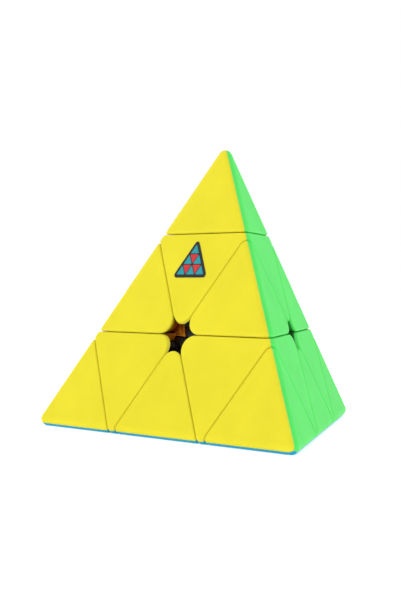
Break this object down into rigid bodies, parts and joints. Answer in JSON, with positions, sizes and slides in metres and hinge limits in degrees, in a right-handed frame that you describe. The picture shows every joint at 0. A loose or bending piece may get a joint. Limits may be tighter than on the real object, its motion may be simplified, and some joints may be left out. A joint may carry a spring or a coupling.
{
  "type": "pyramid twisty puzzle",
  "caption": "Three-layer pyramid twisty puzzle with four turning corner layers, freely spinning points and solid-coloured plastic sides.",
  "frame": {"origin": "centre of the puzzle, where the four turning axes meet", "axes": "+Z through the top point, -Y straight out of the yellow side"},
  "size_m": [0.098, 0.0854, 0.0808],
  "materials": {
    "yellow_plastic": "satin",
    "green_plastic": "satin",
    "blue_plastic": "satin",
    "red_plastic": "satin",
    "black_plastic": "satin",
    "steel": "plain"
  },
  "bodies": {
    "core": {"core": "black_plastic", "axis_screws": "steel", "axis_washers": "steel", "axis_springs": "steel"},
    "corner_top": {"hub_top": "black_plastic", "corner_top_green": "green_plastic", "corner_top_red": "red_plastic", "corner_top_yellow": "yellow_plastic"},
    "tip_top": {"tip_base_top": "black_plastic", "detent_ball_top": "steel", "detent_spring_top": "steel", "tip_top_green": "green_plastic", "tip_top_red": "red_plastic", "tip_top_yellow": "yellow_plastic"},
    "corner_left": {"hub_left": "black_plastic", "corner_left_blue": "blue_plastic", "corner_left_red": "red_plastic", "corner_left_yellow": "yellow_plastic"},
    "tip_left": {"tip_base_left": "black_plastic", "detent_ball_left": "steel", "detent_spring_left": "steel", "tip_left_blue": "blue_plastic", "tip_left_red": "red_plastic", "tip_left_yellow": "yellow_plastic"},
    "corner_right": {"hub_right": "black_plastic", "corner_right_blue": "blue_plastic", "corner_right_green": "green_plastic", "corner_right_yellow": "yellow_plastic"},
    "tip_right": {"tip_base_right": "black_plastic", "detent_ball_right": "steel", "detent_spring_right": "steel", "tip_right_blue": "blue_plastic", "tip_right_green": "green_plastic", "tip_right_yellow": "yellow_plastic"},
    "corner_back": {"hub_back": "black_plastic", "corner_back_blue": "blue_plastic", "corner_back_green": "green_plastic", "corner_back_red": "red_plastic"},
    "tip_back": {"tip_base_back": "black_plastic", "detent_ball_back": "steel", "detent_spring_back": "steel", "tip_back_blue": "blue_plastic", "tip_back_green": "green_plastic", "tip_back_red": "red_plastic"},
    "edge_top_left": {"edge_top_left_red": "red_plastic", "edge_top_left_yellow": "yellow_plastic"},
    "edge_top_right": {"edge_top_right_green": "green_plastic", "edge_top_right_yellow": "yellow_plastic"},
    "edge_top_back": {"edge_top_back_green": "green_plastic", "edge_top_back_red": "red_plastic"},
    "edge_left_right": {"edge_left_right_blue": "blue_plastic", "edge_left_right_yellow": "yellow_plastic"},
    "edge_left_back": {"edge_left_back_blue": "blue_plastic", "edge_left_back_red": "red_plastic"},
    "edge_right_back": {"edge_right_back_blue": "blue_plastic", "edge_right_back_green": "green_plastic"}
  },
  "joints": [
    {"name": "turn_top", "type": "hinge", "parent": "core", "child": "corner_top", "pos_m": [0, 0, 0], "axis": [0, 0, 1], "range_deg": [-240, 120]},
    {"name": "turn_left", "type": "hinge", "parent": "core", "child": "corner_left", "pos_m": [0, 0, 0], "axis": [-0.8165, -0.4714, -0.3333], "range_deg": [-240, 120]},
    {"name": "turn_right", "type": "hinge", "parent": "core", "child": "corner_right", "pos_m": [0, 0, 0], "axis": [0.8165, -0.4714, -0.3333], "range_deg": [-240, 120]},
    {"name": "turn_back", "type": "hinge", "parent": "core", "child": "corner_back", "pos_m": [0, 0, 0], "axis": [0, 0.9428, -0.3333], "range_deg": [-240, 120]},
    {"name": "tip_turn_top", "type": "hinge", "parent": "corner_top", "child": "tip_top", "pos_m": [0, 0, 0], "axis": [0, 0, 1], "continuous": true},
    {"name": "tip_turn_left", "type": "hinge", "parent": "corner_left", "child": "tip_left", "pos_m": [0, 0, 0], "axis": [-0.8165, -0.4714, -0.3333], "continuous": true},
    {"name": "tip_turn_right", "type": "hinge", "parent": "corner_right", "child": "tip_right", "pos_m": [0, 0, 0], "axis": [0.8165, -0.4714, -0.3333], "continuous": true},
    {"name": "tip_turn_back", "type": "hinge", "parent": "corner_back", "child": "tip_back", "pos_m": [0, 0, 0], "axis": [0, 0.9428, -0.3333], "continuous": true},
    {"name": "edge_turn_top_left", "type": "hinge", "parent": "corner_top", "child": "edge_top_left", "pos_m": [0, 0, 0], "axis": [-0.8165, -0.4714, -0.3333], "range_deg": [-240, 120]},
    {"name": "edge_turn_top_right", "type": "hinge", "parent": "corner_top", "child": "edge_top_right", "pos_m": [0, 0, 0], "axis": [0.8165, -0.4714, -0.3333], "range_deg": [-240, 120]},
    {"name": "edge_turn_top_back", "type": "hinge", "parent": "corner_top", "child": "edge_top_back", "pos_m": [0, 0, 0], "axis": [0, 0.9428, -0.3333], "range_deg": [-240, 120]},
    {"name": "edge_turn_left_right", "type": "hinge", "parent": "corner_left", "child": "edge_left_right", "pos_m": [0, 0, 0], "axis": [0.8165, -0.4714, -0.3333], "range_deg": [-240, 120]},
    {"name": "edge_turn_left_back", "type": "hinge", "parent": "corner_back", "child": "edge_left_back", "pos_m": [0, 0, 0], "axis": [-0.8165, -0.4714, -0.3333], "range_deg": [-240, 120]},
    {"name": "edge_turn_right_back", "type": "hinge", "parent": "corner_right", "child": "edge_right_back", "pos_m": [0, 0, 0], "axis": [0, 0.9428, -0.3333], "range_deg": [-240, 120]}
  ],
  "couplings": [
    {"joint": "edge_turn_top_left", "follows": "turn_left", "ratio": 1},
    {"joint": "edge_turn_top_right", "follows": "turn_right", "ratio": 1},
    {"joint": "edge_turn_top_back", "follows": "turn_back", "ratio": 1},
    {"joint": "edge_turn_left_right", "follows": "turn_right", "ratio": 1},
    {"joint": "edge_turn_left_back", "follows": "turn_left", "ratio": 1},
    {"joint": "edge_turn_right_back", "follows": "turn_back", "ratio": 1}
  ]
}
